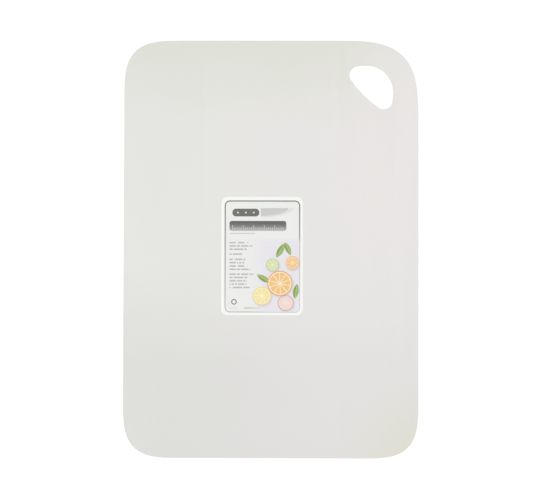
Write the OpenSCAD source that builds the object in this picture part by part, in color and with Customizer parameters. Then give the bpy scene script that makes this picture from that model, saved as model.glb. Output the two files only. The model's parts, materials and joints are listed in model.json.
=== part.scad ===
// Flexible cutting mat: one thin plastic sheet with a finger hole in one corner
// and a printed film label stuck to its top face.
// The mat lies flat on z = 0, its long side runs along Y and its centre is on the Z axis.
// The head is the end with the hole, at +Y, and the foot is the other end.
// The sheet bends about its length to pour off what was cut on it, so it is divided here
// into parallel strips that turn against each other about bend lines at half its thickness.

/* [Sheet] */
// Width of the sheet, across the bend lines
sheet_w = 280; // [250:1:360]
// Length of the sheet, along the bend lines
sheet_l = 397; // [320:1:520]
// Thickness of the sheet
sheet_t = 1; // [0.6:0.1:1.4]
// Fullness of the corner curves: 2 is a plain ellipse and more is squarer
corner_power = 3.5; // [2:0.1:5]
// Reach of the corner curve along both edges, at the head with the hole
hole_corner_reach = 81; // [40:1:100]
// Reach of the corner curve along both edges, at the head without the hole
head_corner_reach = 57; // [20:1:100]
// Reach of the corner curves along both edges, at the foot
foot_corner_reach = 56; // [20:1:100]

/* [Finger hole] */
// Width of sheet between the rounded corner and the hole, along the corner's diagonal
hole_rim = 23.5; // [15:0.5:30]
// Width of the hole across the diagonal
hole_w = 51; // [40:0.5:56]
// Depth of the hole along the diagonal, from the dome to the inner side
hole_h = 29.5; // [24:0.5:36]
// Radius of the dome that faces the corner
hole_dome_r = 25.4; // [20:0.1:32]
// Radius of the two rounded ends
hole_end_r = 8.7; // [5:0.1:10]
// Radius of the shallow arc on the inner side
hole_inner_r = 97; // [60:1:200]

/* [Bending] */
// Width of the zone that bends, between the two side panels that stay flat
bend_zone_w = 120; // [90:1:140]
// Least width of flat sheet between the finger hole and a bend line
hole_clearance = 12; // [5:0.5:15]
// Number of bend lines on each side of the middle strip
bends_per_side = 7; // [3:1:8]
// Gap between two strips, which lets them turn
bend_gap = 0.4; // [0.4:0.05:0.8]

/* [Label] */
// Width of the label
label_w = 77.6; // [60:0.1:110]
// Length of the label
label_l = 112.6; // [80:0.1:150]
// Thickness of the printed film with its adhesive
label_t = 0.1; // [0.06:0.01:0.2]
// Radius of the label's corners
label_corner_r = 6; // [2:0.5:12]
// Distance from the sheet's centre to the label's centre, towards the left
label_left = 8.3; // [0:0.1:15]
// Distance from the sheet's centre to the label's centre, towards the foot
label_foot = 6.8; // [0:0.1:30]

/* [Hidden] */
// Colours of the two materials
sheet_colour = [0.89, 0.89, 0.87];
label_colour = [0.96, 0.96, 0.95];

// Straight steps that a corner curve is drawn with
corner_steps = 24;
// Circle segments of the small arcs, and of the shallow one
arc_segments = 96;
shallow_segments = 360;

// Inset of the hole corner's curve along its diagonal, and the place of the hole's dome
corner_inset = sqrt(2) * hole_corner_reach * (1 - pow(2, -1 / corner_power));
dome_inset = corner_inset + hole_rim;
// Half the distance between the centres of the hole's ends, and their depth below the dome.
// The shallow inner arc touches both end arcs, which sets the depth.
end_spread = hole_w / 2 - hole_end_r;
end_rise = hole_inner_r - sqrt(pow(hole_inner_r - hole_end_r, 2) - pow(end_spread, 2));
end_depth = hole_h - end_rise;

// Place of the hole's edge that is nearest to the sheet's middle
hole_x0 = sheet_w / 2 - (dome_inset + end_depth + end_spread) / sqrt(2) - hole_end_r;
// Place of the last bend line, which keeps clear of the hole on a narrow sheet too
last_bend = min(bend_zone_w / 2, hole_x0 - hole_clearance);
// Distance from one bend line to the next. The middle strip has half of it on each side.
bend_pitch = last_bend / (bends_per_side - 0.5);

// The strips count from the left side to the right one, and 0 is the middle strip
strips = [-bends_per_side : bends_per_side];
label_x0 = -label_left - label_w / 2;
label_x1 = -label_left + label_w / 2;
label_strips = [for (k = strips) if (strip_x1(k) > label_x0 && strip_x0(k) < label_x1) k];

// Left and right edge of a strip. The two side panels reach past the sheet's edge.
function strip_x0(k) =
    k == -bends_per_side ? -sheet_w : (k - 0.5) * bend_pitch + bend_gap / 2;
function strip_x1(k) =
    k == bends_per_side ? sheet_w : (k + 0.5) * bend_pitch - bend_gap / 2;

function side_name(k) = k < 0 ? "left" : "right";
function strip_name(k) =
    k == 0 ? "middle" :
    abs(k) == bends_per_side ? str(side_name(k), "_side") :
    str(side_name(k), "_", abs(k));
function sheet_node(k) = str("sheet_", strip_name(k));
function label_node(k) = str("label_", strip_name(k));

// Points of a corner curve, anticlockwise about the sheet. The signs say which corner.
function corner_points(sign_x, sign_y, reach) = [
    for (i = [0 : corner_steps])
        let (
            turn = 90 * i / corner_steps,
            a = sign_x * sign_y > 0 ? turn : 90 - turn
        )
        [
            sign_x * (sheet_w / 2 - reach + reach * pow(cos(a), 2 / corner_power)),
            sign_y * (sheet_l / 2 - reach + reach * pow(sin(a), 2 / corner_power))
        ]
];

module sheet_outline() {
    polygon(concat(
        corner_points(1, 1, hole_corner_reach),
        corner_points(-1, 1, head_corner_reach),
        corner_points(-1, -1, foot_corner_reach),
        corner_points(1, -1, foot_corner_reach)
    ));
}

// The hole with its dome at the origin and its inner side at y = -hole_h
module hole_outline() {
    hull() {
        intersection() {
            translate([0, -hole_dome_r]) circle(r = hole_dome_r, $fn = arc_segments);
            translate([-hole_w / 2, -end_depth]) square([hole_w, end_depth]);
        }
        for (side = [-1, 1])
            translate([side * end_spread, -end_depth]) circle(r = hole_end_r, $fn = arc_segments);
        intersection() {
            translate([0, hole_inner_r - hole_h]) circle(r = hole_inner_r, $fn = shallow_segments);
            translate([-end_spread, -hole_h]) square([2 * end_spread, end_rise]);
        }
    }
}

// The hole in its corner, with the dome turned to the corner
module finger_hole() {
    translate([sheet_w / 2, sheet_l / 2])
        rotate(-45)
        translate([0, -dome_inset])
        hole_outline();
}

// A rectangle with round corners
module label_outline() {
    centre_x = label_w / 2 - label_corner_r;
    centre_y = label_l / 2 - label_corner_r;
    translate([-label_left, -label_foot]) {
        square([label_w, 2 * centre_y], center = true);
        square([2 * centre_x, label_l], center = true);
        for (x = [-centre_x, centre_x], y = [-centre_y, centre_y])
            translate([x, y]) circle(r = label_corner_r, $fn = arc_segments);
    }
}

// The part of the plane that one strip covers
module strip_window(k) {
    translate([strip_x0(k), -sheet_l]) square([strip_x1(k) - strip_x0(k), 2 * sheet_l]);
}

// One strip of the plastic sheet
module sheet_strip(k) {
    color(sheet_colour)
        linear_extrude(sheet_t)
        intersection() {
            difference() {
                sheet_outline();
                finger_hole();
            }
            strip_window(k);
        }
}

// The part of the printed label that lies on one strip
module label_strip(k) {
    color(label_colour)
        translate([0, 0, sheet_t])
        linear_extrude(label_t)
        intersection() {
            label_outline();
            strip_window(k);
        }
}

for (k = strips)
    sheet_strip(k);
for (k = label_strips)
    label_strip(k);
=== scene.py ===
# %% [markdown]
# # A flexible cutting mat
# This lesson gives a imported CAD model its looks. The mat is one thin sheet of milky, satin
# plastic with a D-shaped finger hole in a corner, and a printed film label on its top face.
# The CAD model holds the sizes and the joints, so it is loaded first and never changed. Its
# strips are plain stand-ins for a sheet that bends, and the pieces made here replace them.

import json
import math

import bmesh
import bpy
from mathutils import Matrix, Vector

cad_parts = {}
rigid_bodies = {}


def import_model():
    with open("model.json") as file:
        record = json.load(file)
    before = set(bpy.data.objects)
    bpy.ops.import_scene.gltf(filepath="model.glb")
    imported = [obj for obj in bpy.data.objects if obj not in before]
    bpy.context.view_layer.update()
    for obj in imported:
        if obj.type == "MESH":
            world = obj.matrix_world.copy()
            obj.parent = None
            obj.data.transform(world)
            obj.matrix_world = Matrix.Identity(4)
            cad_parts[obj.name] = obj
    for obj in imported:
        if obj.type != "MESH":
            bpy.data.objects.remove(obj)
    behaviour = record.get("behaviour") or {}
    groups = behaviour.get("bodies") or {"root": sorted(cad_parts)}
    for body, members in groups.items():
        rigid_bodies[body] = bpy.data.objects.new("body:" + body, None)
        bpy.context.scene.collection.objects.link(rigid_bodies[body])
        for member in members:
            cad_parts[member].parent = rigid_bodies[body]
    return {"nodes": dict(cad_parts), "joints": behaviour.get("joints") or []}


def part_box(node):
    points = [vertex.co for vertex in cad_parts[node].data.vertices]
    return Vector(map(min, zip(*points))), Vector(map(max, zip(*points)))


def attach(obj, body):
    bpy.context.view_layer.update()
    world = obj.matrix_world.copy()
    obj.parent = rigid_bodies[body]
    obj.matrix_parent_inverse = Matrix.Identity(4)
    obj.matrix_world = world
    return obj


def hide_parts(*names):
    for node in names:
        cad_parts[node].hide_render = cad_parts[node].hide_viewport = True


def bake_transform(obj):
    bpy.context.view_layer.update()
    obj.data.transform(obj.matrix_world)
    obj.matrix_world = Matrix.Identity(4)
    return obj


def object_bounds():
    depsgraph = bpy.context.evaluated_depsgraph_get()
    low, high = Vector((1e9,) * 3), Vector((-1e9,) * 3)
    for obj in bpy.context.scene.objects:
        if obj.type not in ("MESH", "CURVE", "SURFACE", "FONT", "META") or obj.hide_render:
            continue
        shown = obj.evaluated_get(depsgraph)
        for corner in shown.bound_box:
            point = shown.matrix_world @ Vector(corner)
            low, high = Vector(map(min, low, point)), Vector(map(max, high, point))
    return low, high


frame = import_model()
cad_low, cad_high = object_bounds()
MM = 0.001

sheet_width = cad_high.x - cad_low.x
sheet_length = cad_high.y - cad_low.y
sheet_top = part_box("sheet_middle")[1].z
print(f"sheet {sheet_width / MM:.1f} x {sheet_length / MM:.1f} x {sheet_top / MM:.2f} mm")

# %% [markdown]
# ## The camera
# The photograph looks almost straight down, from a little below the mat's centre, with a long
# lens. The camera's place and tilt were fitted to the mat's edges in the photograph, and the
# rest of the scene doesn't depend on them.

# %% Camera
CAMERA_PLACE = (0.0134, -0.0230, 1.2239)
CAMERA_TILT = (1.05, 0.55, 0.12)
CAMERA_LENS = 85

bpy.ops.object.camera_add(
    location=CAMERA_PLACE,
    rotation=[math.radians(angle) for angle in CAMERA_TILT],
)
camera = bpy.context.object
camera.name = "camera"
camera.data.lens = CAMERA_LENS
bpy.context.scene.camera = camera
print(f"camera {camera.location.z:.3f} m above the mat, lens {CAMERA_LENS} mm")

# %% [markdown]
# ## Small helpers for nodes
# A material is a chain of many small nodes. Writing each one as a call that takes its inputs
# in order, and returns its outputs, keeps a long chain short enough to read. A Mix node has a
# set of sockets for each kind of data, and the numbers below pick the ones for colours.


# %% Helpers for nodes
MIX_INPUTS, MIX_RESULT = (0, 6, 7), 2


def feed(tree, socket, value):
    """Links an input to another node's output, or sets it to a value. None leaves it alone."""
    if isinstance(value, bpy.types.NodeSocket):
        tree.links.new(value, socket)
    elif value is not None:
        socket.default_value = value


def wire(tree, kind, *values, **settings):
    """Adds a node, sets its settings, fills its inputs in order and returns its outputs."""
    node = tree.nodes.new(kind)
    for name, value in settings.items():
        setattr(node, name, value)
    for socket, value in zip(node.inputs, values):
        feed(tree, socket, value)
    return node.outputs


def maths(tree, operation, *values, clamp=False):
    return wire(tree, "ShaderNodeMath", *values, operation=operation, use_clamp=clamp)[0]


def vectors(tree, operation, *values):
    outputs = wire(tree, "ShaderNodeVectorMath", *values, operation=operation)
    return outputs["Value" if operation in ("LENGTH", "DISTANCE") else "Vector"]


def mix_colours(tree, share, base, over):
    """Lays one colour over another where share, from 0 to 1, says so."""
    node = tree.nodes.new("ShaderNodeMix")
    node.data_type = "RGBA"
    for number, value in zip(MIX_INPUTS, (share, base, over)):
        feed(tree, node.inputs[number], value)
    return node.outputs[MIX_RESULT]


def ramp(tree, value, low, high):
    """0 up to low, 1 from high on, and an even slope between them."""
    return wire(tree, "ShaderNodeMapRange", value, low, high, 0.0, 1.0, clamp=True)[0]


def noise(tree, place, scale, detail):
    """Soft random spots. The second input, which is for other kinds of noise, stays empty."""
    return wire(tree, "ShaderNodeTexNoise", place, None, scale, detail)[0]


def new_material(name):
    """A material, its node tree and the shader in it."""
    material = bpy.data.materials.new(name)
    material.use_nodes = True
    return material, material.node_tree, material.node_tree.nodes["Principled BSDF"]


def screen_colour(red, green, blue):
    """The colour that a screen shows for three numbers from 0 to 255, by the sRGB curve."""
    parts = [part / 255 for part in (red, green, blue)]
    linear = [p / 12.92 if p <= 0.04045 else ((p + 0.055) / 1.055) ** 2.4 for p in parts]
    return (*linear, 1.0)


def grey(level):
    return screen_colour(level, level, level)


# %% [markdown]
# ## Floor, lights and backdrop
# The photograph is a cut-out: the mat lies on pure white with no shadow to speak of. The floor
# is a white surface that also glows a little, but only where it is seen, directly, mirrored or
# through glass. So it comes out white without lighting the mat, and still takes a soft shadow.
# Light from far away is equally strong everywhere, so two wide suns and an even sky keep the
# floor white up to the horizon, and the mat's own colours come out as they are set.

# %% Floor
FLOOR_SIZE = 14.0
FLOOR_DROP = 0.05 * MM
FLOOR_GLOW = 0.32
FLOOR_COLOUR = (0.82, 0.82, 0.82, 1)
FLOOR_ROUGHNESS = 0.9
WHITE = (1, 1, 1, 1)


def seen_directly(tree):
    """1 for a ray from the camera, from a reflection or through glass, otherwise 0."""
    path = tree.nodes.new("ShaderNodeLightPath").outputs
    either = maths(tree, "ADD", path["Is Camera Ray"], path["Is Glossy Ray"])
    return maths(tree, "ADD", either, path["Is Transmission Ray"], clamp=True)


bpy.ops.object.select_all(action="DESELECT")
bpy.ops.mesh.primitive_plane_add(size=FLOOR_SIZE, location=(0, 0, -FLOOR_DROP))
floor = bpy.context.object
floor.name = "floor"
floor_paint, floor_tree, floor_shader = new_material("white_floor")
floor_shader.inputs["Base Color"].default_value = FLOOR_COLOUR
floor_shader.inputs["Roughness"].default_value = FLOOR_ROUGHNESS
floor_shader.inputs["Emission Color"].default_value = WHITE
floor_glow = maths(floor_tree, "MULTIPLY", seen_directly(floor_tree), FLOOR_GLOW)
floor_tree.links.new(floor_glow, floor_shader.inputs["Emission Strength"])
floor.data.materials.append(floor_paint)
print(f"floor {FLOOR_SIZE:.0f} m wide")

# %% Sky and lamps
SKY_LEVEL = 0.60
LAMPS = {
    "key_lamp": {"place": (-1.2, -0.8, 1.8), "width": 50, "strength": 0.90},
    "fill_lamp": {"place": (1.4, 0.9, 1.5), "width": 70, "strength": 0.71},
}

world = bpy.data.worlds.new("studio")
world.use_nodes = True
bpy.context.scene.world = world
sky = world.node_tree.nodes["Background"]
sky.inputs["Color"].default_value = WHITE
seen = seen_directly(world.node_tree)
sky_strength = maths(world.node_tree, "MULTIPLY_ADD", seen, 1.0 - SKY_LEVEL, SKY_LEVEL)
world.node_tree.links.new(sky_strength, sky.inputs["Strength"])

for name, lamp in LAMPS.items():
    bpy.ops.object.light_add(type="SUN", location=lamp["place"])
    light = bpy.context.object
    light.name = name
    light.data.angle = math.radians(lamp["width"])
    light.data.energy = lamp["strength"]
    light.rotation_euler = light.location.to_track_quat("Z", "Y").to_euler()
    print(f"{name} {lamp['width']} degrees wide, strength {lamp['strength']:.2f}")

bpy.context.scene.view_settings.view_transform = "Standard"

# %% [markdown]
# ## Helpers for modelling
# Blender's operators act on what is selected, and the loaded CAD strips are all selected. So
# each step first takes up one object alone, and in edit mode it picks vertices or edges by
# their place.


# %% Helpers for modelling
def take_up(thing):
    """Selects one object, makes it the active one and leaves all others."""
    bpy.ops.object.select_all(action="DESELECT")
    thing.select_set(True)
    bpy.context.view_layer.objects.active = thing


def pick(thing, kind, test):
    """In edit mode, selects the vertices ("VERT") or edges ("EDGE") that pass a test alone."""
    bpy.ops.mesh.select_mode(type=kind)
    edit = bmesh.from_edit_mesh(thing.data)
    elements = {"VERT": edit.verts, "EDGE": edit.edges}[kind]
    chosen = {element.index for element in elements if test(element)}
    bpy.ops.mesh.select_all(action="DESELECT")
    for element in elements:
        if element.index in chosen:
            element.select = True
    edit.select_flush_mode()
    bmesh.update_edit_mesh(thing.data)
    return len(chosen)


def open_edges(thing):
    """How many edges don't have exactly two faces, which is 0 on a closed solid."""
    check = bmesh.new()
    check.from_mesh(thing.data)
    count = sum(len(edge.link_faces) != 2 for edge in check.edges)
    check.free()
    return count


# %% [markdown]
# ## The blank
# Both the sheet and the label start as a flat outline with round corners. The sheet's corners
# aren't quarter circles: they are fuller, like a squircle. A bevel on a single vertex draws
# just that curve. Its reach is the distance from the corner at which the curve starts, and its
# profile goes from 0.5 for a circle towards 1 for a sharp corner.

# %% Flat outline with round corners
CORNER_STEPS = 48
SAME_PLACE = 0.01 * MM


def bevel_profile(power):
    """The bevel profile that draws |x|^power + |y|^power = 1. A circle has power 2."""
    return 2 ** (-2 / power)


def round_outline(name, low, high, height, reaches, power):
    """One flat face at a height. reaches holds one corner reach for each (x, y) side."""
    bpy.ops.object.select_all(action="DESELECT")
    centre_x, centre_y = (low[0] + high[0]) / 2, (low[1] + high[1]) / 2
    bpy.ops.mesh.primitive_plane_add(size=1, location=(centre_x, centre_y, height))
    plate = bpy.context.object
    plate.name = name
    plate.scale = (high[0] - low[0], high[1] - low[1], 1)
    bpy.ops.object.transform_apply(location=True, rotation=True, scale=True)
    bpy.ops.object.mode_set(mode="EDIT")
    for (side_x, side_y), reach in reaches.items():
        corner_x = high[0] if side_x > 0 else low[0]
        corner_y = high[1] if side_y > 0 else low[1]
        pick(
            plate,
            "VERT",
            lambda v: math.hypot(v.co.x - corner_x, v.co.y - corner_y) < SAME_PLACE,
        )
        bpy.ops.mesh.bevel(
            offset=reach,
            segments=CORNER_STEPS,
            profile=bevel_profile(power),
            affect="VERTICES",
        )
    bpy.ops.object.mode_set(mode="OBJECT")
    return plate


# %% Blank of the sheet
CORNER_POWER = 3.5
CORNER_REACHES = {
    (1, 1): 81 * MM,
    (-1, 1): 57 * MM,
    (-1, -1): 56 * MM,
    (1, -1): 56 * MM,
}

sheet = round_outline("sheet", cad_low, cad_high, 0, CORNER_REACHES, CORNER_POWER)
bpy.ops.object.mode_set(mode="EDIT")
bpy.ops.mesh.select_all(action="SELECT")
bpy.ops.mesh.extrude_region_move(TRANSFORM_OT_translate={"value": (0, 0, sheet_top)})
bpy.ops.mesh.select_all(action="SELECT")
bpy.ops.mesh.normals_make_consistent(inside=False)
bpy.ops.object.mode_set(mode="OBJECT")
print(f"blank: {len(sheet.data.vertices)} vertices, {open_edges(sheet)} open edges")

# %% [markdown]
# ## The finger hole
# The hole is punched by a die, so it is made the same way: a cutter with the hole's outline is
# taken out of the blank. The outline is convex, so it can be wrapped round a few arcs: a dome
# towards the corner, two small round ends, and a shallow arc on the inner side. Its sizes, like
# those of the corners, are the same as in the CAD source.

# %% Outline of the cutter
HOLE_TURN = math.radians(-45)
HOLE_RIM = 23.5 * MM
HOLE_WIDTH = 51 * MM
HOLE_DEPTH = 29.5 * MM
DOME_RADIUS = 25.4 * MM
END_RADIUS = 8.7 * MM
INNER_RADIUS = 97 * MM
CUTTER_REACH = 5 * MM
ARC_STEPS = 128
INNER_STEPS = 512

end_spread = HOLE_WIDTH / 2 - END_RADIUS
end_rise = INNER_RADIUS - math.sqrt((INNER_RADIUS - END_RADIUS) ** 2 - end_spread**2)
end_depth = HOLE_DEPTH - end_rise


def add_arc(cutter, steps, radius, centre, keep):
    """In edit mode, adds a circle of loose edges and keeps the vertices that pass a test."""
    bpy.ops.mesh.select_all(action="DESELECT")
    bpy.ops.mesh.primitive_circle_add(
        vertices=steps, radius=radius, location=(*centre, -CUTTER_REACH)
    )
    pick(cutter, "VERT", lambda v: v.select and not keep(v.co))
    bpy.ops.mesh.delete(type="VERT")


bpy.ops.object.select_all(action="DESELECT")
bpy.ops.mesh.primitive_circle_add(
    vertices=ARC_STEPS,
    radius=END_RADIUS,
    location=(-end_spread, -end_depth, -CUTTER_REACH),
)
cutter = bpy.context.object
cutter.name = "hole_cutter"
bpy.ops.object.transform_apply(location=True, rotation=True, scale=True)
bpy.ops.object.mode_set(mode="EDIT")
add_arc(cutter, ARC_STEPS, END_RADIUS, (end_spread, -end_depth), lambda co: True)
add_arc(cutter, ARC_STEPS, DOME_RADIUS, (0, -DOME_RADIUS), lambda co: co.y >= -end_depth)
add_arc(
    cutter,
    INNER_STEPS,
    INNER_RADIUS,
    (0, INNER_RADIUS - HOLE_DEPTH),
    lambda co: abs(co.x) <= end_spread and co.y < 0,
)
print(f"cutter outline: {len(bmesh.from_edit_mesh(cutter.data).verts)} vertices")

# %% Cutter and punched hole
bpy.ops.mesh.select_all(action="SELECT")
bpy.ops.mesh.duplicate_move(
    TRANSFORM_OT_translate={"value": (0, 0, sheet_top + 2 * CUTTER_REACH)}
)
bpy.ops.mesh.select_all(action="SELECT")
bpy.ops.mesh.convex_hull()
bpy.ops.mesh.select_all(action="SELECT")
bpy.ops.mesh.normals_make_consistent(inside=False)
bpy.ops.object.mode_set(mode="OBJECT")

corner_reach = CORNER_REACHES[(1, 1)]
corner_inset = math.sqrt(2) * corner_reach * (1 - 2 ** (-1 / CORNER_POWER))
dome_inset = (corner_inset + HOLE_RIM) / math.sqrt(2)
cutter.rotation_euler.z = HOLE_TURN
cutter.location = (cad_high.x - dome_inset, cad_high.y - dome_inset, 0)
take_up(cutter)
bpy.ops.object.transform_apply(location=True, rotation=True, scale=True)

take_up(sheet)
bpy.ops.object.modifier_add(type="BOOLEAN")
punch = sheet.modifiers[-1]
punch.operation = "DIFFERENCE"
punch.solver = "EXACT"
punch.object = cutter
bpy.ops.object.modifier_apply(modifier=punch.name)
bpy.data.objects.remove(cutter)
print(f"punched sheet: {len(sheet.data.vertices)} vertices, {open_edges(sheet)} open edges")

# %% [markdown]
# ## The cut edge
# A die leaves an edge that is crisp but never perfectly sharp. A tiny bevel along both rims,
# and round the hole, lets the edge catch a thin line of light. A bevel modifier that works by
# angle finds just those edges, because everything else on the plate is flat or smoothly curved.

# %% Softened edge
EDGE_ROUND = 0.15 * MM
EDGE_STEPS = 2
EDGE_ANGLE = math.radians(50)

bpy.ops.object.modifier_add(type="BEVEL")
softener = sheet.modifiers[-1]
softener.width = EDGE_ROUND
softener.segments = EDGE_STEPS
softener.limit_method = "ANGLE"
softener.angle_limit = EDGE_ANGLE
bpy.ops.object.modifier_apply(modifier=softener.name)
print(f"sheet: {len(sheet.data.polygons)} faces, {open_edges(sheet)} open edges")

# %% [markdown]
# ## The label
# The label is a film a tenth of a millimetre thick with ordinary round corners. Its outline is
# drawn by the same steps, and its place and size come from the CAD pieces that it replaces. It
# stays a single face here: its thickness comes last, once it lies on the sheet.

# %% Outline of the label
LABEL_CORNER = 6 * MM
CIRCLE_POWER = 2

label_nodes = [name for name in frame["nodes"] if name.startswith("label_")]
label_boxes = [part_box(name) for name in label_nodes]
label_low = [min(box[0][axis] for box in label_boxes) for axis in range(3)]
label_high = [max(box[1][axis] for box in label_boxes) for axis in range(3)]
label_corners = {(x, y): LABEL_CORNER for x in (-1, 1) for y in (-1, 1)}
label = round_outline(
    "label", label_low, label_high, label_low[2], label_corners, CIRCLE_POWER
)
print(f"label: {len(label.data.vertices)} vertices")

# %% [markdown]
# ## A texture group for plastic grain
# Neither the sheet nor the film is perfectly smooth: both have a fine grain that breaks up
# reflections. Both materials need it at their own size, so it is a node group with inputs.
# It reads the stored rest place of each point, so the grain bends along with the surface.
# Much broader noise makes the roughness uneven.


# %% Node group for grain
def new_group(name, inputs, outputs):
    """An empty node group, with what comes in and the sockets that go out."""
    group = bpy.data.node_groups.new(name, "ShaderNodeTree")
    for title, kind in inputs.items():
        group.interface.new_socket(title, in_out="INPUT", socket_type=kind)
    for title, kind in outputs.items():
        group.interface.new_socket(title, in_out="OUTPUT", socket_type=kind)
    come_in = group.nodes.new("NodeGroupInput").outputs
    go_out = group.nodes.new("NodeGroupOutput").inputs
    return group, come_in, go_out


def use_group(tree, group, **values):
    """Places a group in a material and fills its inputs by name."""
    node = tree.nodes.new("ShaderNodeGroup")
    node.node_tree = group
    for title, value in values.items():
        feed(tree, node.inputs[title.replace("_", " ").capitalize()], value)
    return node.outputs


VALUE, PLACE, COLOUR = "NodeSocketFloat", "NodeSocketVector", "NodeSocketColor"
FINE_DETAIL, BROAD_DETAIL = 2.0, 3.0
BROAD_SCALE = 0.02

grain, come_in, go_out = new_group(
    "grain",
    {"Place": PLACE, "Grains per metre": VALUE, "Roughness": VALUE, "Unevenness": VALUE},
    {"Height": VALUE, "Roughness": VALUE},
)
fine = noise(grain, come_in["Place"], come_in["Grains per metre"], FINE_DETAIL)
broad_scale = maths(grain, "MULTIPLY", come_in["Grains per metre"], BROAD_SCALE)
broad = noise(grain, come_in["Place"], broad_scale, BROAD_DETAIL)
offset = maths(grain, "SUBTRACT", broad, 0.5)
uneven = maths(grain, "MULTIPLY_ADD", offset, come_in["Unevenness"], come_in["Roughness"])
grain.links.new(fine, go_out["Height"])
grain.links.new(uneven, go_out["Roughness"])
print(f"group {grain.name}: {len(grain.nodes)} nodes")

# %% Grain in a material
GRAIN_DEPTH = 0.02 * MM


def rest_place(tree):
    """Where a point of the mat lies while the mat is flat, in metres."""
    return wire(tree, "ShaderNodeAttribute", attribute_name="rest_place")["Vector"]


def add_grain(tree, shader, bump_strength, **settings):
    """Gives a material the grain's uneven roughness and its fine bump."""
    texture = use_group(tree, grain, place=rest_place(tree), **settings)
    tree.links.new(texture["Roughness"], shader.inputs["Roughness"])
    bump = tree.nodes.new("ShaderNodeBump")
    bump.inputs["Strength"].default_value = bump_strength
    bump.inputs["Distance"].default_value = GRAIN_DEPTH
    tree.links.new(texture["Height"], bump.inputs["Height"])
    tree.links.new(bump.outputs["Normal"], shader.inputs["Normal"])


# %% [markdown]
# ## Milky plastic
# The sheet is polypropylene that lets some light in and scatters it back, which makes it a
# soft, slightly warm white with hardly any contrast. It isn't one flat colour: it is lightest
# above its middle, greyer towards the foot and most of all at its left, pinker and lighter on
# the right, and yellowish green along the head, up to the hole, and in the right corner of the
# foot. The darker foot and head and the lighter right side are partly painted shade and painted
# light, for light that falls unevenly across the sheet, and partly the plastic's own grey, pink
# and green tints. Each shade is laid over the last by an even slope across the sheet, and broad,
# faint noise bends the slopes so that they don't look drawn. Two numbers say where a shade starts
# and where it is full, in metres from the mat's middle, or for the corner's shade in metres from
# the corner. The cut edge is a shade darker, partly its own greyer plastic and partly a painted
# shade along the edge, and the surface is satin.

# %% Material of the sheet
BELLY = screen_colour(230, 230, 227)
# The foot's two shades are darker than the middle: partly painted shade, partly the plastic's own
# tone.
SHADED_FOOT_LEFT = screen_colour(221, 221, 218)
SHADED_FOOT_RIGHT = screen_colour(228, 226, 225)
# Lighter and pinker on the right: painted light, partly the plastic's pink tint.
LIT_PINK_SIDE = screen_colour(234, 230, 229)
# Darker and greener at the head: painted shade, partly the plastic's green tint.
SHADED_GREEN_HEAD = screen_colour(225, 226, 217)
YELLOW_CORNER = screen_colour(225, 224, 214)
# Darker cut edge: partly a painted shade along the edge, partly the greyer cut plastic.
CUT_EDGE_WITH_SHADE = screen_colour(208, 209, 202)
CORNER_PLACE = (cad_high.x, cad_low.y, 0)
CLOUD_SCALE, CLOUD_DETAIL, CLOUD_DRIFT = 9.0, 2.0, 0.06
FOOT_ACROSS, FOOT_ALONG = (-0.11, 0.11), (-0.02, -0.11)
PINK_ACROSS, PINK_ALONG, PINK_SHARE = (-0.08, 0.09), (-0.14, 0.02), 0.8
GREEN_ACROSS, GREEN_ALONG = (0.13, 0.065), (0.12, 0.18)
YELLOW_REACH = (0.075, 0.03)
WALL_START, WALL_FULL = 0.48 * sheet_top, 0.36 * sheet_top
SATIN = {"grains_per_metre": 3500.0, "roughness": 0.46, "unevenness": 0.16}
SATIN_BUMP = 0.35


# The sheet's own tints together with painted light and painted shade.
def milky_tints_and_painted_light(tree, place):
    across, along, up = wire(tree, "ShaderNodeSeparateXYZ", place)
    clouds = noise(tree, place, CLOUD_SCALE, CLOUD_DETAIL)
    drift = maths(tree, "MULTIPLY_ADD", clouds, CLOUD_DRIFT, -CLOUD_DRIFT / 2)
    across = maths(tree, "ADD", across, drift)
    along = maths(tree, "ADD", along, drift)
    # Painted shade, partly the plastic's tone: darker towards the foot and most at its left.
    shaded_foot = mix_colours(tree, ramp(tree, across, *FOOT_ACROSS), SHADED_FOOT_LEFT, SHADED_FOOT_RIGHT)
    colour = mix_colours(tree, ramp(tree, along, *FOOT_ALONG), BELLY, shaded_foot)
    # Painted light, partly the plastic's tint: lighter and pinker on the right.
    lit_pink = maths(tree, "MULTIPLY", ramp(tree, across, *PINK_ACROSS), PINK_SHARE)
    lit_pink = maths(tree, "MULTIPLY", lit_pink, ramp(tree, along, *PINK_ALONG))
    colour = mix_colours(tree, lit_pink, colour, LIT_PINK_SIDE)
    # Painted shade, partly the plastic's tint: darker and greener along the head.
    green = ramp(tree, along, *GREEN_ALONG)
    green = maths(tree, "MULTIPLY", green, ramp(tree, across, *GREEN_ACROSS))
    colour = mix_colours(tree, green, colour, SHADED_GREEN_HEAD)
    from_corner = vectors(tree, "DISTANCE", place, CORNER_PLACE)
    colour = mix_colours(tree, ramp(tree, from_corner, *YELLOW_REACH), colour, YELLOW_CORNER)
    # The walls of the cut edge get a darker colour: partly painted shade, partly the greyer
    # plastic.
    off_middle = maths(tree, "ABSOLUTE", maths(tree, "SUBTRACT", up, sheet_top / 2))
    edge_shade_share = ramp(tree, off_middle, WALL_START, WALL_FULL)
    return mix_colours(tree, edge_shade_share, colour, CUT_EDGE_WITH_SHADE)


plastic_material, plastic_tree, plastic_shader = new_material("milky_plastic")
plastic_colour_and_light = milky_tints_and_painted_light(plastic_tree, rest_place(plastic_tree))
plastic_tree.links.new(plastic_colour_and_light, plastic_shader.inputs["Base Color"])
add_grain(plastic_tree, plastic_shader, SATIN_BUMP, **SATIN)
print(f"{plastic_material.name}: {len(plastic_tree.nodes)} nodes")

# %% [markdown]
# ## What is printed on the label
# The print is drawn by formulas, so it stays sharp at any distance. Each figure is a group
# that says, for a place on the label in millimetres, how far it is outside an outline, or what
# colour it has there and whether it covers the place at all. Figures are then laid over each
# other like stickers. The first one, a box with round corners, also makes lines and bars.

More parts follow.
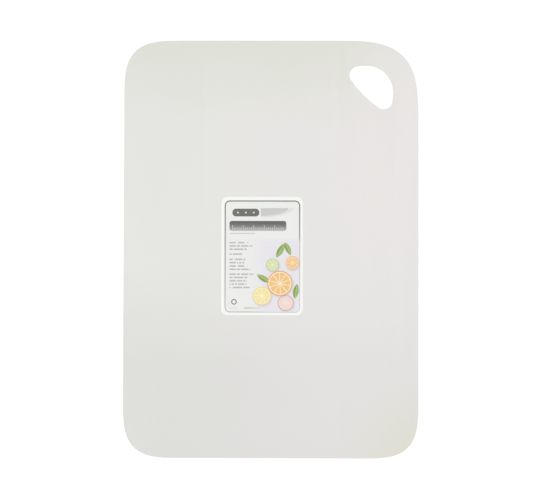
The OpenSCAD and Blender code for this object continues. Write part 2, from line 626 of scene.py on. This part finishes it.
# %% Node group for a box with round corners
INK_EDGE = 0.04


def covers(tree, distance):
    """1 where a distance in millimetres is below 0, with a soft edge like printing ink."""
    return ramp(tree, distance, INK_EDGE, -INK_EDGE)


def split(tree, place):
    """How far right and how far up a place lies."""
    return wire(tree, "ShaderNodeSeparateXYZ", place)[:2]


round_box, come_in, go_out = new_group(
    "round_box",
    {"Place": PLACE, "Centre": PLACE, "Half size": PLACE, "Corner": VALUE},
    {"Distance": VALUE},
)
offset = vectors(round_box, "SUBTRACT", come_in["Place"], come_in["Centre"])
beyond = vectors(round_box, "ABSOLUTE", offset)
beyond = vectors(round_box, "SUBTRACT", beyond, come_in["Half size"])
right, above = split(round_box, beyond)
right = maths(round_box, "ADD", right, come_in["Corner"])
above = maths(round_box, "ADD", above, come_in["Corner"])
right_past = maths(round_box, "MAXIMUM", right, 0.0)
above_past = maths(round_box, "MAXIMUM", above, 0.0)
past = wire(round_box, "ShaderNodeCombineXYZ", right_past, above_past)[0]
within = maths(round_box, "MINIMUM", maths(round_box, "MAXIMUM", right, above), 0.0)
distance = maths(round_box, "ADD", vectors(round_box, "LENGTH", past), within)
distance = maths(round_box, "SUBTRACT", distance, come_in["Corner"])
round_box.links.new(distance, go_out["Distance"])
print(f"group {round_box.name}: {len(round_box.nodes)} nodes")

# %% [markdown]
# Small print is only hinted at, by rows of grey dashes. The group counts rows down from a
# corner, and cells along each row. White noise gives each row and each cell a fixed number of
# its own, which decides how long the row is and where a word ends. A row is marked by its
# number and the block's width, so that two blocks of unequal width don't look alike.

# %% Node group for rows of dashes
DASH_CELL = 1.0
WORD_SHARE = 0.80
SHORTEST_ROW = 0.55
CELLS_APART = 57.0
DASH_EDGE = (0.25, 0.19)

dashes, come_in, go_out = new_group(
    "dashes",
    {"Place": PLACE, "Corner": PLACE, "Rows": VALUE, "Row step": VALUE, "Width": VALUE},
    {"Mask": VALUE},
)


def fixed_number(tree, mark):
    """A number from 0 to 1 that is always the same for the same mark."""
    return wire(tree, "ShaderNodeTexWhiteNoise", None, mark, noise_dimensions="1D")[0]


right, above = split(dashes, vectors(dashes, "SUBTRACT", come_in["Place"], come_in["Corner"]))
rows_down = maths(dashes, "DIVIDE", maths(dashes, "MULTIPLY", above, -1.0), come_in["Row step"])
row = maths(dashes, "ADD", maths(dashes, "FLOOR", rows_down), come_in["Width"])
row_share = maths(
    dashes, "MULTIPLY_ADD", fixed_number(dashes, row), 1.0 - SHORTEST_ROW, SHORTEST_ROW
)
row_length = maths(dashes, "MULTIPLY", row_share, come_in["Width"])
cell = maths(dashes, "FLOOR", maths(dashes, "DIVIDE", right, DASH_CELL))
cell = maths(dashes, "MULTIPLY_ADD", row, CELLS_APART, cell)
off_line = maths(dashes, "SUBTRACT", maths(dashes, "FRACT", rows_down), 0.5)
mask = ramp(dashes, maths(dashes, "ABSOLUTE", off_line), *DASH_EDGE)
for left, operation, limit in (
    (fixed_number(dashes, cell), "LESS_THAN", WORD_SHARE),
    (right, "GREATER_THAN", 0.0),
    (right, "LESS_THAN", row_length),
    (rows_down, "GREATER_THAN", 0.0),
    (rows_down, "LESS_THAN", come_in["Rows"]),
):
    mask = maths(dashes, "MULTIPLY", mask, maths(dashes, operation, left, limit))
dashes.links.new(mask, go_out["Mask"])
print(f"group {dashes.name}: {len(dashes.nodes)} nodes")

# %% [markdown]
# The picture shows slices of fruit. A slice is drawn by its distance from its centre and the
# direction: peel outside, pith under it, then wedges of flesh with thin pith between them. The
# flesh has streaks that run outwards, from noise that is stretched along the radius. Where the
# rings start is given as a share of the radius, and the shadow's edge in millimetres.

# %% Node group for a slice of fruit
SHADOW_OFFSET = (0.7, -0.9, 0)
SHADOW_EDGE, SHADOW_SHARE = (1.6, -0.6), 0.35
TURNS_PER_RADIAN = 1 / math.tau
STREAKS_OUT, STREAKS_ROUND, STREAK_SHARE = 5.0, 12.0, 0.8
STREAK_SCALE, STREAK_DETAIL, STREAK_EDGE = 1.5, 1.0, (0.42, 0.80)
WEDGE_EDGE, FLESH_EDGE = (0.03, 0.06), (0.86, 0.82)
PEEL_EDGE, SLICE_EDGE = (0.90, 0.94), (1.005, 0.99)

fruit_slice, come_in, go_out = new_group(
    "fruit_slice",
    {
        "Place": PLACE,
        "Centre": PLACE,
        "Radius": VALUE,
        "Wedges": VALUE,
        "Turn": VALUE,
        "Peel": COLOUR,
        "Pith": COLOUR,
        "Flesh": COLOUR,
    },
    {"Colour": COLOUR, "Mask": VALUE, "Shadow": VALUE},
)
offset = vectors(fruit_slice, "SUBTRACT", come_in["Place"], come_in["Centre"])
right, above = split(fruit_slice, offset)
length = vectors(fruit_slice, "LENGTH", offset)
reach = maths(fruit_slice, "DIVIDE", length, come_in["Radius"])
direction = maths(fruit_slice, "ARCTAN2", above, right)
turns = maths(fruit_slice, "MULTIPLY_ADD", direction, TURNS_PER_RADIAN, come_in["Turn"])
wedge = maths(fruit_slice, "FRACT", maths(fruit_slice, "MULTIPLY", turns, come_in["Wedges"]))
off_middle = maths(fruit_slice, "ABSOLUTE", maths(fruit_slice, "SUBTRACT", wedge, 0.5))
to_side = maths(fruit_slice, "MULTIPLY", maths(fruit_slice, "SUBTRACT", 0.5, off_middle), reach)
streak_reach = maths(fruit_slice, "MULTIPLY", reach, STREAKS_OUT)
streak_turn = maths(fruit_slice, "MULTIPLY", direction, STREAKS_ROUND)
streak_place = wire(fruit_slice, "ShaderNodeCombineXYZ", streak_reach, streak_turn)[0]
streaks = noise(fruit_slice, streak_place, STREAK_SCALE, STREAK_DETAIL)
streaks = ramp(fruit_slice, streaks, *STREAK_EDGE)
streaks = maths(fruit_slice, "MULTIPLY", streaks, STREAK_SHARE)
flesh = mix_colours(fruit_slice, streaks, come_in["Flesh"], come_in["Pith"])
in_wedge = ramp(fruit_slice, to_side, *WEDGE_EDGE)
in_wedge = maths(fruit_slice, "MULTIPLY", in_wedge, ramp(fruit_slice, reach, *FLESH_EDGE))
colour = mix_colours(fruit_slice, in_wedge, come_in["Pith"], flesh)
in_peel = ramp(fruit_slice, reach, *PEEL_EDGE)
colour = mix_colours(fruit_slice, in_peel, colour, come_in["Peel"])
shadow_offset = vectors(fruit_slice, "SUBTRACT", offset, SHADOW_OFFSET)
shadow_length = vectors(fruit_slice, "LENGTH", shadow_offset)
shadow_past = maths(fruit_slice, "SUBTRACT", shadow_length, come_in["Radius"])
shadow = ramp(fruit_slice, shadow_past, *SHADOW_EDGE)
shadow = maths(fruit_slice, "MULTIPLY", shadow, SHADOW_SHARE)
fruit_slice.links.new(colour, go_out["Colour"])
fruit_slice.links.new(ramp(fruit_slice, reach, *SLICE_EDGE), go_out["Mask"])
fruit_slice.links.new(shadow, go_out["Shadow"])
print(f"group {fruit_slice.name}: {len(fruit_slice.nodes)} nodes")

# %% [markdown]
# A leaf is a lens shape between two parabolas, with a light rib along its middle and side ribs
# that slant forwards. One half is darker than the other, as if the light came from one side.

# %% Node group for a leaf
LEAF_RIB = screen_colour(206, 216, 156)
LEAF_SHADE = screen_colour(104, 134, 66)
SHADE_SHARE = 0.5
RIB_EDGE = (0.22, 0.12)
SIDE_RIB_SLANT, SIDE_RIB_EDGE, SIDE_RIB_SHARE = 0.7, (0.18, 0.06), 0.45

leaf, come_in, go_out = new_group(
    "leaf",
    {
        "Place": PLACE,
        "Centre": PLACE,
        "Turn": VALUE,
        "Length": VALUE,
        "Width": VALUE,
        "Green": COLOUR,
    },
    {"Colour": COLOUR, "Mask": VALUE},
)
back = maths(leaf, "MULTIPLY", come_in["Turn"], -1.0)
turned = wire(
    leaf,
    "ShaderNodeVectorRotate",
    come_in["Place"],
    come_in["Centre"],
    None,
    back,
    rotation_type="Z_AXIS",
)[0]
right, above = split(leaf, vectors(leaf, "SUBTRACT", turned, come_in["Centre"]))
ahead = maths(leaf, "DIVIDE", maths(leaf, "MULTIPLY", right, 2.0), come_in["Length"])
narrowing = maths(leaf, "SUBTRACT", 1.0, maths(leaf, "MULTIPLY", ahead, ahead))
half_width = maths(leaf, "MULTIPLY", come_in["Width"], 0.5)
edge = maths(leaf, "MULTIPLY", narrowing, half_width)
off_rib = maths(leaf, "ABSOLUTE", above)
side_ribs = maths(leaf, "FRACT", maths(leaf, "MULTIPLY_ADD", right, SIDE_RIB_SLANT, off_rib))
in_shade = maths(leaf, "MULTIPLY", maths(leaf, "GREATER_THAN", above, 0.0), SHADE_SHARE)
colour = mix_colours(leaf, in_shade, come_in["Green"], LEAF_SHADE)
on_side_rib = maths(leaf, "MULTIPLY", ramp(leaf, side_ribs, *SIDE_RIB_EDGE), SIDE_RIB_SHARE)
colour = mix_colours(leaf, on_side_rib, colour, LEAF_RIB)
colour = mix_colours(leaf, ramp(leaf, off_rib, *RIB_EDGE), colour, LEAF_RIB)
leaf.links.new(colour, go_out["Colour"])
leaf.links.new(covers(leaf, maths(leaf, "SUBTRACT", off_rib, edge)), go_out["Mask"])
print(f"group {leaf.name}: {len(leaf.nodes)} nodes")

# %% [markdown]
# ## Frame, knife and bar
# The film is white, with a slightly greyer panel inside a thin frame line that fades towards
# the foot. At the head of the panel is a drawing of a knife, and under it a grey bar with ruler
# marks. All of them are boxes with round corners, apart from the blade, whose cutting edge is
# a quarter of an ellipse. Places count from the label's middle, in millimetres.

# %% Frame, knife and bar of the label
PAPER, PANEL = screen_colour(249, 249, 246), screen_colour(238, 239, 236)
FRAME_LINE_TOP, FRAME_LINE_FOOT = grey(104), grey(190)
HANDLE, RIVET = screen_colour(104, 106, 98), grey(216)
BLADE, GROUND_EDGE = grey(204), grey(226)
BAR_TOP, BAR_FOOT, RULER_MARK, THIN_BAR = grey(92), grey(184), grey(226), grey(203)
FRAME_BOX = {"centre": (0.28, -0.45, 0), "half_size": (35.4, 52.75, 1), "corner": 4.5}
FRAME_HALF_LINE, FRAME_FADE = 0.53, (50.0, -50.0)
BAR_BOX = {"centre": (-4.0, 28.6, 0), "half_size": (27.0, 4.7, 1), "corner": 2.2}
THIN_BOX = {"centre": (-18.5, 21.4, 0), "half_size": (12.0, 0.45, 1), "corner": 0.4}
HANDLE_BOX = {"centre": (-15.5, 41.3, 0), "half_size": (12.8, 3.7, 1), "corner": 3.4}
RIVET_BOXES = [
    {"centre": (x, 41.3, 0), "half_size": (0.9, 0.9, 1), "corner": 0.9}
    for x in (-23.0, -15.5, -8.0)
]
BLADE_START, BLADE_SPINE, BLADE_LENGTH, BLADE_DEPTH = -1.4, 45.6, 31.0, 8.8
BLADE_EDGE, GROUND_SPAN = (1.01, 0.99), (0.70, 0.74)
BAR_FADE = (33.1, 24.1)
MARK_STEP, STEPS_PER_LONG_MARK, MARK_EDGE = 2.0, 5.0, (0.12, 0.08)
MARKS_START, MARKS_END = -29.0, 21.0
MARK_FOOT, MARK_TOP, LONG_MARK_EXTRA = 25.0, 27.2, 2.2


def box_distance(tree, place, box):
    return use_group(tree, round_box, place=place, **box)["Distance"]


def print_box(tree, place, colour, box, ink):
    """Prints a filled box in one ink."""
    return mix_colours(tree, covers(tree, box_distance(tree, place, box)), colour, ink)


def print_frame(tree, place):
    """The white film, the panel and the line round it, and where the panel is."""
    distance = box_distance(tree, place, FRAME_BOX)
    in_panel = covers(tree, distance)
    colour = mix_colours(tree, in_panel, PAPER, PANEL)
    above = split(tree, place)[1]
    line = mix_colours(tree, ramp(tree, above, *FRAME_FADE), FRAME_LINE_TOP, FRAME_LINE_FOOT)
    off_line = maths(tree, "ABSOLUTE", distance)
    on_line = covers(tree, maths(tree, "SUBTRACT", off_line, FRAME_HALF_LINE))
    return mix_colours(tree, on_line, colour, line), in_panel


def print_knife(tree, place, colour):
    right, above = split(tree, place)
    ahead = maths(tree, "DIVIDE", maths(tree, "SUBTRACT", right, BLADE_START), BLADE_LENGTH)
    below = maths(tree, "DIVIDE", maths(tree, "SUBTRACT", BLADE_SPINE, above), BLADE_DEPTH)
    reach = maths(tree, "MULTIPLY", ahead, ahead)
    reach = maths(tree, "MULTIPLY_ADD", below, below, reach)
    on_blade = ramp(tree, reach, *BLADE_EDGE)
    on_blade = maths(tree, "MULTIPLY", on_blade, maths(tree, "GREATER_THAN", ahead, 0.0))
    on_blade = maths(tree, "MULTIPLY", on_blade, maths(tree, "GREATER_THAN", below, 0.0))
    steel = mix_colours(tree, ramp(tree, reach, *GROUND_SPAN), BLADE, GROUND_EDGE)
    colour = mix_colours(tree, on_blade, colour, steel)
    colour = print_box(tree, place, colour, HANDLE_BOX, HANDLE)
    for rivet in RIVET_BOXES:
        colour = print_box(tree, place, colour, rivet, RIVET)
    return colour


def print_bar(tree, place, colour):
    """A bar that fades downwards, with a mark every 2 mm and a longer one every 10 mm."""
    right, above = split(tree, place)
    fade = ramp(tree, above, *BAR_FADE)
    ink = mix_colours(tree, maths(tree, "MULTIPLY", fade, fade), BAR_TOP, BAR_FOOT)
    colour = print_box(tree, place, colour, BAR_BOX, ink)
    marks = maths(tree, "DIVIDE", maths(tree, "SUBTRACT", right, MARKS_START), MARK_STEP)
    off_mark = maths(tree, "ABSOLUTE", maths(tree, "SUBTRACT", maths(tree, "FRACT", marks), 0.5))
    long_steps = maths(tree, "FRACT", maths(tree, "DIVIDE", marks, STEPS_PER_LONG_MARK))
    is_long = maths(tree, "LESS_THAN", long_steps, 1 / STEPS_PER_LONG_MARK)
    top = maths(tree, "MULTIPLY_ADD", is_long, LONG_MARK_EXTRA, MARK_TOP)
    on_mark = ramp(tree, off_mark, *MARK_EDGE)
    for left, operation, limit in (
        (above, "LESS_THAN", top),
        (above, "GREATER_THAN", MARK_FOOT),
        (right, "GREATER_THAN", MARKS_START),
        (right, "LESS_THAN", MARKS_END),
    ):
        on_mark = maths(tree, "MULTIPLY", on_mark, maths(tree, operation, left, limit))
    colour = mix_colours(tree, on_mark, colour, RULER_MARK)
    return print_box(tree, place, colour, THIN_BOX, THIN_BAR)


# %% [markdown]
# ## Small print and picture
# Four blocks of dashes stand on the left. The picture on the right lies on a pale lilac wash
# that fades into the panel: slices of orange, lemon, lime and radish, and a few leaves. The
# picture is cut off at the middle of the frame line.

# %% Small print and picture of the label
SMALL_PRINT, FAINT_LINE, BROWN_LINE = grey(186), grey(212), screen_colour(190, 176, 150)
WASH, SLICE_SHADOW = screen_colour(233, 230, 236), grey(168)
WASH_ACROSS, WASH_ALONG = (-15.0, 4.0), (17.5, 13.5)
ROW_STEP, RING_HALF_LINE = 3.15, 0.45
BLOCKS = [
    {"corner": (-30.9, 14.2, 0), "rows": 3.0, "width": 24.0},
    {"corner": (-30.9, 3.3, 0), "rows": 1.0, "width": 16.0},
    {"corner": (-30.9, -1.7, 0), "rows": 4.0, "width": 22.0},
    {"corner": (-30.9, -15.8, 0), "rows": 5.0, "width": 25.0},
]
RING_BOX = {"centre": (-26.6, -43.6, 0), "half_size": (2.2, 2.2, 1), "corner": 2.2}
FAINT_BOX = {"centre": (-27.2, -49.4, 0), "half_size": (4.0, 0.3, 1), "corner": 0.3}
BROWN_BOX = {"centre": (-9.0, -49.4, 0), "half_size": (8.0, 0.5, 1), "corner": 0.4}
ORANGE = {
    "peel": screen_colour(234, 160, 74),
    "pith": screen_colour(250, 238, 214),
    "flesh": screen_colour(242, 186, 96),
}
LEMON = {
    "peel": screen_colour(240, 208, 96),
    "pith": screen_colour(251, 246, 222),
    "flesh": screen_colour(246, 224, 138),
}
LIME = {
    "peel": screen_colour(150, 176, 84),
    "pith": screen_colour(240, 244, 214),
    "flesh": screen_colour(206, 220, 150),
}
RADISH = {
    "peel": screen_colour(214, 128, 120),
    "pith": screen_colour(248, 234, 230),
    "flesh": screen_colour(240, 212, 202),
}
LEAF_GREEN = screen_colour(150, 178, 92)
SLICES = [
    {"centre": (22.5, -44.5, 0), "radius": 7.4, "wedges": 14.0, "turn": 0.02, **RADISH},
    {"centre": (28.8, -6.5, 0), "radius": 6.4, "wedges": 9.0, "turn": 0.05, **ORANGE},
    {"centre": (10.0, -8.5, 0), "radius": 6.0, "wedges": 8.0, "turn": 0.03, **LIME},
    {"centre": (17.0, -26.0, 0), "radius": 12.0, "wedges": 10.0, "turn": 0.04, **ORANGE},
    {"centre": (0.0, -38.0, 0), "radius": 8.7, "wedges": 9.0, "turn": 0.07, **LEMON},
]
LEAVES = [
    {"centre": (17.5, 5.2, 0), "turn": 1.05, "length": 16.0, "width": 5.6},
    {"centre": (24.5, 7.0, 0), "turn": 2.0, "length": 14.0, "width": 5.0},
    {"centre": (1.5, -21.5, 0), "turn": 2.6, "length": 15.0, "width": 5.4},
    {"centre": (32.2, -33.5, 0), "turn": 1.4, "length": 15.0, "width": 5.4},
]


def print_small_print(tree, place, colour):
    for block in BLOCKS:
        mask = use_group(tree, dashes, place=place, row_step=ROW_STEP, **block)["Mask"]
        colour = mix_colours(tree, mask, colour, SMALL_PRINT)
    ring = maths(tree, "ABSOLUTE", box_distance(tree, place, RING_BOX))
    on_ring = covers(tree, maths(tree, "SUBTRACT", ring, RING_HALF_LINE))
    colour = mix_colours(tree, on_ring, colour, HANDLE)
    colour = print_box(tree, place, colour, FAINT_BOX, FAINT_LINE)
    return print_box(tree, place, colour, BROWN_BOX, BROWN_LINE)


def print_picture(tree, place, colour, in_panel):
    right, above = split(tree, place)
    in_wash = ramp(tree, right, *WASH_ACROSS)
    for share in (ramp(tree, above, *WASH_ALONG), in_panel):
        in_wash = maths(tree, "MULTIPLY", in_wash, share)
    picture = mix_colours(tree, in_wash, colour, WASH)
    for values in LEAVES:
        figure = use_group(tree, leaf, place=place, green=LEAF_GREEN, **values)
        picture = mix_colours(tree, figure["Mask"], picture, figure["Colour"])
    for values in SLICES:
        figure = use_group(tree, fruit_slice, place=place, **values)
        picture = mix_colours(tree, figure["Shadow"], picture, SLICE_SHADOW)
        picture = mix_colours(tree, figure["Mask"], picture, figure["Colour"])
    return mix_colours(tree, in_panel, colour, picture)


# %% [markdown]
# ## The printed film
# The ink lies under a clear varnish, so the print doesn't change how the film shines: it is
# smoother than the sheet, with the same grain at a larger and fainter scale. The panel and its
# frame line are printed first, and each later figure covers what lies under it.

# %% Material of the label
VARNISH = {"grains_per_metre": 1500.0, "roughness": 0.34, "unevenness": 0.10}
VARNISH_BUMP = 0.12
label_middle = [(label_low[axis] + label_high[axis]) / 2 for axis in (0, 1)] + [0]


def label_place(tree):
    """Where a point lies on the flat label, in millimetres from its middle."""
    from_middle = vectors(tree, "SUBTRACT", rest_place(tree), label_middle)
    return vectors(tree, "MULTIPLY", from_middle, (1 / MM, 1 / MM, 0))


def whole_print(tree, place):
    colour, in_panel = print_frame(tree, place)
    for print_figure in (print_knife, print_bar, print_small_print):
        colour = print_figure(tree, place, colour)
    return print_picture(tree, place, colour, in_panel)


film_material, film_tree, film_shader = new_material("printed_film")
film_colour = whole_print(film_tree, label_place(film_tree))
film_tree.links.new(film_colour, film_shader.inputs["Base Color"])
add_grain(film_tree, film_shader, VARNISH_BUMP, **VARNISH)
print(f"{film_material.name}: {len(film_tree.nodes)} nodes")

# %% [markdown]
# ## Pieces for the bend lines
# When the mat is poured from, its sides turn up, and all bend lines of a side turn together. A
# real sheet bends smoothly there, so each bend line gets a piece of the sheet that reaches from
# the middle of one CAD strip to the middle of the next, in place of those strips. The pieces end
# at those middles, so neighbours meet without a gap at rest. Each point remembers its rest place,
# which the materials read, so that patterns bend as well.

# %% Cutting pieces from a plate
SMOOTH_BELOW = math.radians(25)
ON_PLANE = 0.001 * MM


def copy_of(plate, name):
    take_up(plate)
    bpy.ops.object.duplicate()
    bpy.context.object.name = name
    return bpy.context.object


def cut(x, keep_right, closed):
    """In edit mode, cuts the piece at x and throws one side away."""
    bpy.ops.mesh.select_all(action="SELECT")
    bpy.ops.mesh.bisect(
        plane_co=(x, 0, 0),
        plane_no=(1, 0, 0),
        use_fill=closed,
        clear_inner=keep_right,
        clear_outer=not keep_right,
        threshold=ON_PLANE,
    )


def score(x):
    """In edit mode, draws a line of edges across the piece at x."""
    bpy.ops.mesh.select_all(action="SELECT")
    bpy.ops.mesh.bisect(plane_co=(x, 0, 0), plane_no=(1, 0, 0), threshold=ON_PLANE)


def finish_piece(piece, material):
    """Smooth shading, the stored rest place and the material."""
    take_up(piece)
    bpy.ops.object.shade_smooth_by_angle(angle=SMOOTH_BELOW)
    rest = piece.data.attributes.new("rest_place", "FLOAT_VECTOR", "POINT")
    for vertex, entry in zip(piece.data.vertices, rest.data):
        entry.vector = vertex.co
    piece.data.materials.append(material)


# %% [markdown]
# ## How the sheet curves
# A piece that only has edges on its bend line and at its two ends would fold there like card.
# A Subdivision Surface turns that fold into a curve that starts and ends in line with the two
# strips, which is how a springy sheet bends. All other edges are creased, so that the outline
# and the ends stay as they are. The modifier stays live, because it has to act after the fold.

# %% Bending pieces of the sheet
CURVE_LEVELS = 3
bends = sorted(frame["joints"], key=lambda joint: abs(joint["pos_m"][0]))
bend_pitch = 2 * abs(bends[0]["pos_m"][0])


def bend_span(joint):
    """Where the piece of a bend line starts and ends: the middles of the two strips."""
    x = joint["pos_m"][0]
    side = math.copysign(1, x)
    return x - side * bend_pitch / 2, x + side * bend_pitch / 2


def hang(piece, joint, part):
    """Fixes a piece's place into its mesh and hides the CAD strips that it stands in for."""
    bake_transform(piece)
    for body in (joint["parent"], joint["child"]):
        if f"{part}_{body}" in frame["nodes"]:
            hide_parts(f"{part}_{body}")


def sheet_bend(joint):
    start, end = bend_span(joint)
    bend_x = joint["pos_m"][0]
    piece = copy_of(sheet, f"sheet_{joint['name']}")
    bpy.ops.object.mode_set(mode="EDIT")
    cut(start, keep_right=end > start, closed=True)
    cut(end, keep_right=end < start, closed=True)
    score(bend_x)
    pick(
        piece,
        "EDGE",
        lambda e: any(abs(v.co.x - bend_x) > 2 * ON_PLANE for v in e.verts),
    )
    bpy.ops.transform.edge_crease(value=1)
    bpy.ops.object.mode_set(mode="OBJECT")
    finish_piece(piece, plastic_material)
    bpy.ops.object.modifier_add(type="SUBSURF")
    curve = piece.modifiers[-1]
    curve.levels = CURVE_LEVELS
    curve.render_levels = CURVE_LEVELS
    hang(piece, joint, "sheet")
    return piece


sheet_bends = {joint["name"]: sheet_bend(joint) for joint in bends}
for piece in sheet_bends.values():
    print(f"{piece.name}: {len(piece.data.polygons)} faces, {open_edges(piece)} open edges")

# %% [markdown]
# ## The flat sides
# Beyond the last bend line on each side the sheet stays flat. Its two side panels, one of them
# with the finger hole, are cut off and ride on their CAD bodies as they are.

# %% Side panels
for joint in bends:
    if not joint["child"].endswith("_side"):
        continue
    end = bend_span(joint)[1]
    panel = copy_of(sheet, f"sheet_{joint['child']}_panel")
    bpy.ops.object.mode_set(mode="EDIT")
    cut(end, keep_right=end > 0, closed=True)
    bpy.ops.object.mode_set(mode="OBJECT")
    finish_piece(panel, plastic_material)
    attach(panel, joint["child"])
    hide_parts(f"sheet_{joint['child']}")
    print(f"{panel.name}: {len(panel.data.polygons)} faces, {open_edges(panel)} open edges")
bpy.data.objects.remove(sheet)

# %% [markdown]
# ## The film on the curve
# The film has to lie on the sheet wherever it bends. It is cut at the same places as the sheet,
# and each piece is scored finely so that it can curve. A Shrinkwrap then moves each of its
# points to the nearest point of the sheet under it, a Solidify gives it its thickness upwards,
# and a Weighted Normal keeps it evenly shaded up to its thin edge.

# %% Bending pieces of the label
FILM_SCORES = 24
WIDE_FACES_ONLY = 100


def has_label(joint):
    """Whether the label lies on any of what bends at this joint."""
    start, end = bend_span(joint)
    return label_low[0] < max(start, end) and min(start, end) < label_high[0]


def label_bend(joint):
    start, end = bend_span(joint)
    piece = copy_of(label, f"label_{joint['name']}")
    bpy.ops.object.mode_set(mode="EDIT")
    cut(start, keep_right=end > start, closed=False)
    cut(end, keep_right=end < start, closed=False)
    for number in range(1, FILM_SCORES):
        score(start + (end - start) * number / FILM_SCORES)
    bpy.ops.object.mode_set(mode="OBJECT")
    finish_piece(piece, film_material)
    bpy.ops.object.modifier_add(type="SHRINKWRAP")
    stick = piece.modifiers[-1]
    stick.target = sheet_bends[joint["name"]]
    stick.wrap_method = "NEAREST_SURFACEPOINT"
    bpy.ops.object.modifier_add(type="SOLIDIFY")
    film = piece.modifiers[-1]
    film.thickness = label_high[2] - label_low[2]
    film.offset = 1
    bpy.ops.object.modifier_add(type="WEIGHTED_NORMAL")
    piece.modifiers[-1].weight = WIDE_FACES_ONLY
    hang(piece, joint, "label")
    return piece


for joint in bends:
    if has_label(joint):
        piece = label_bend(joint)
        print(f"{piece.name}: {len(piece.data.polygons)} faces")
bpy.data.objects.remove(label)
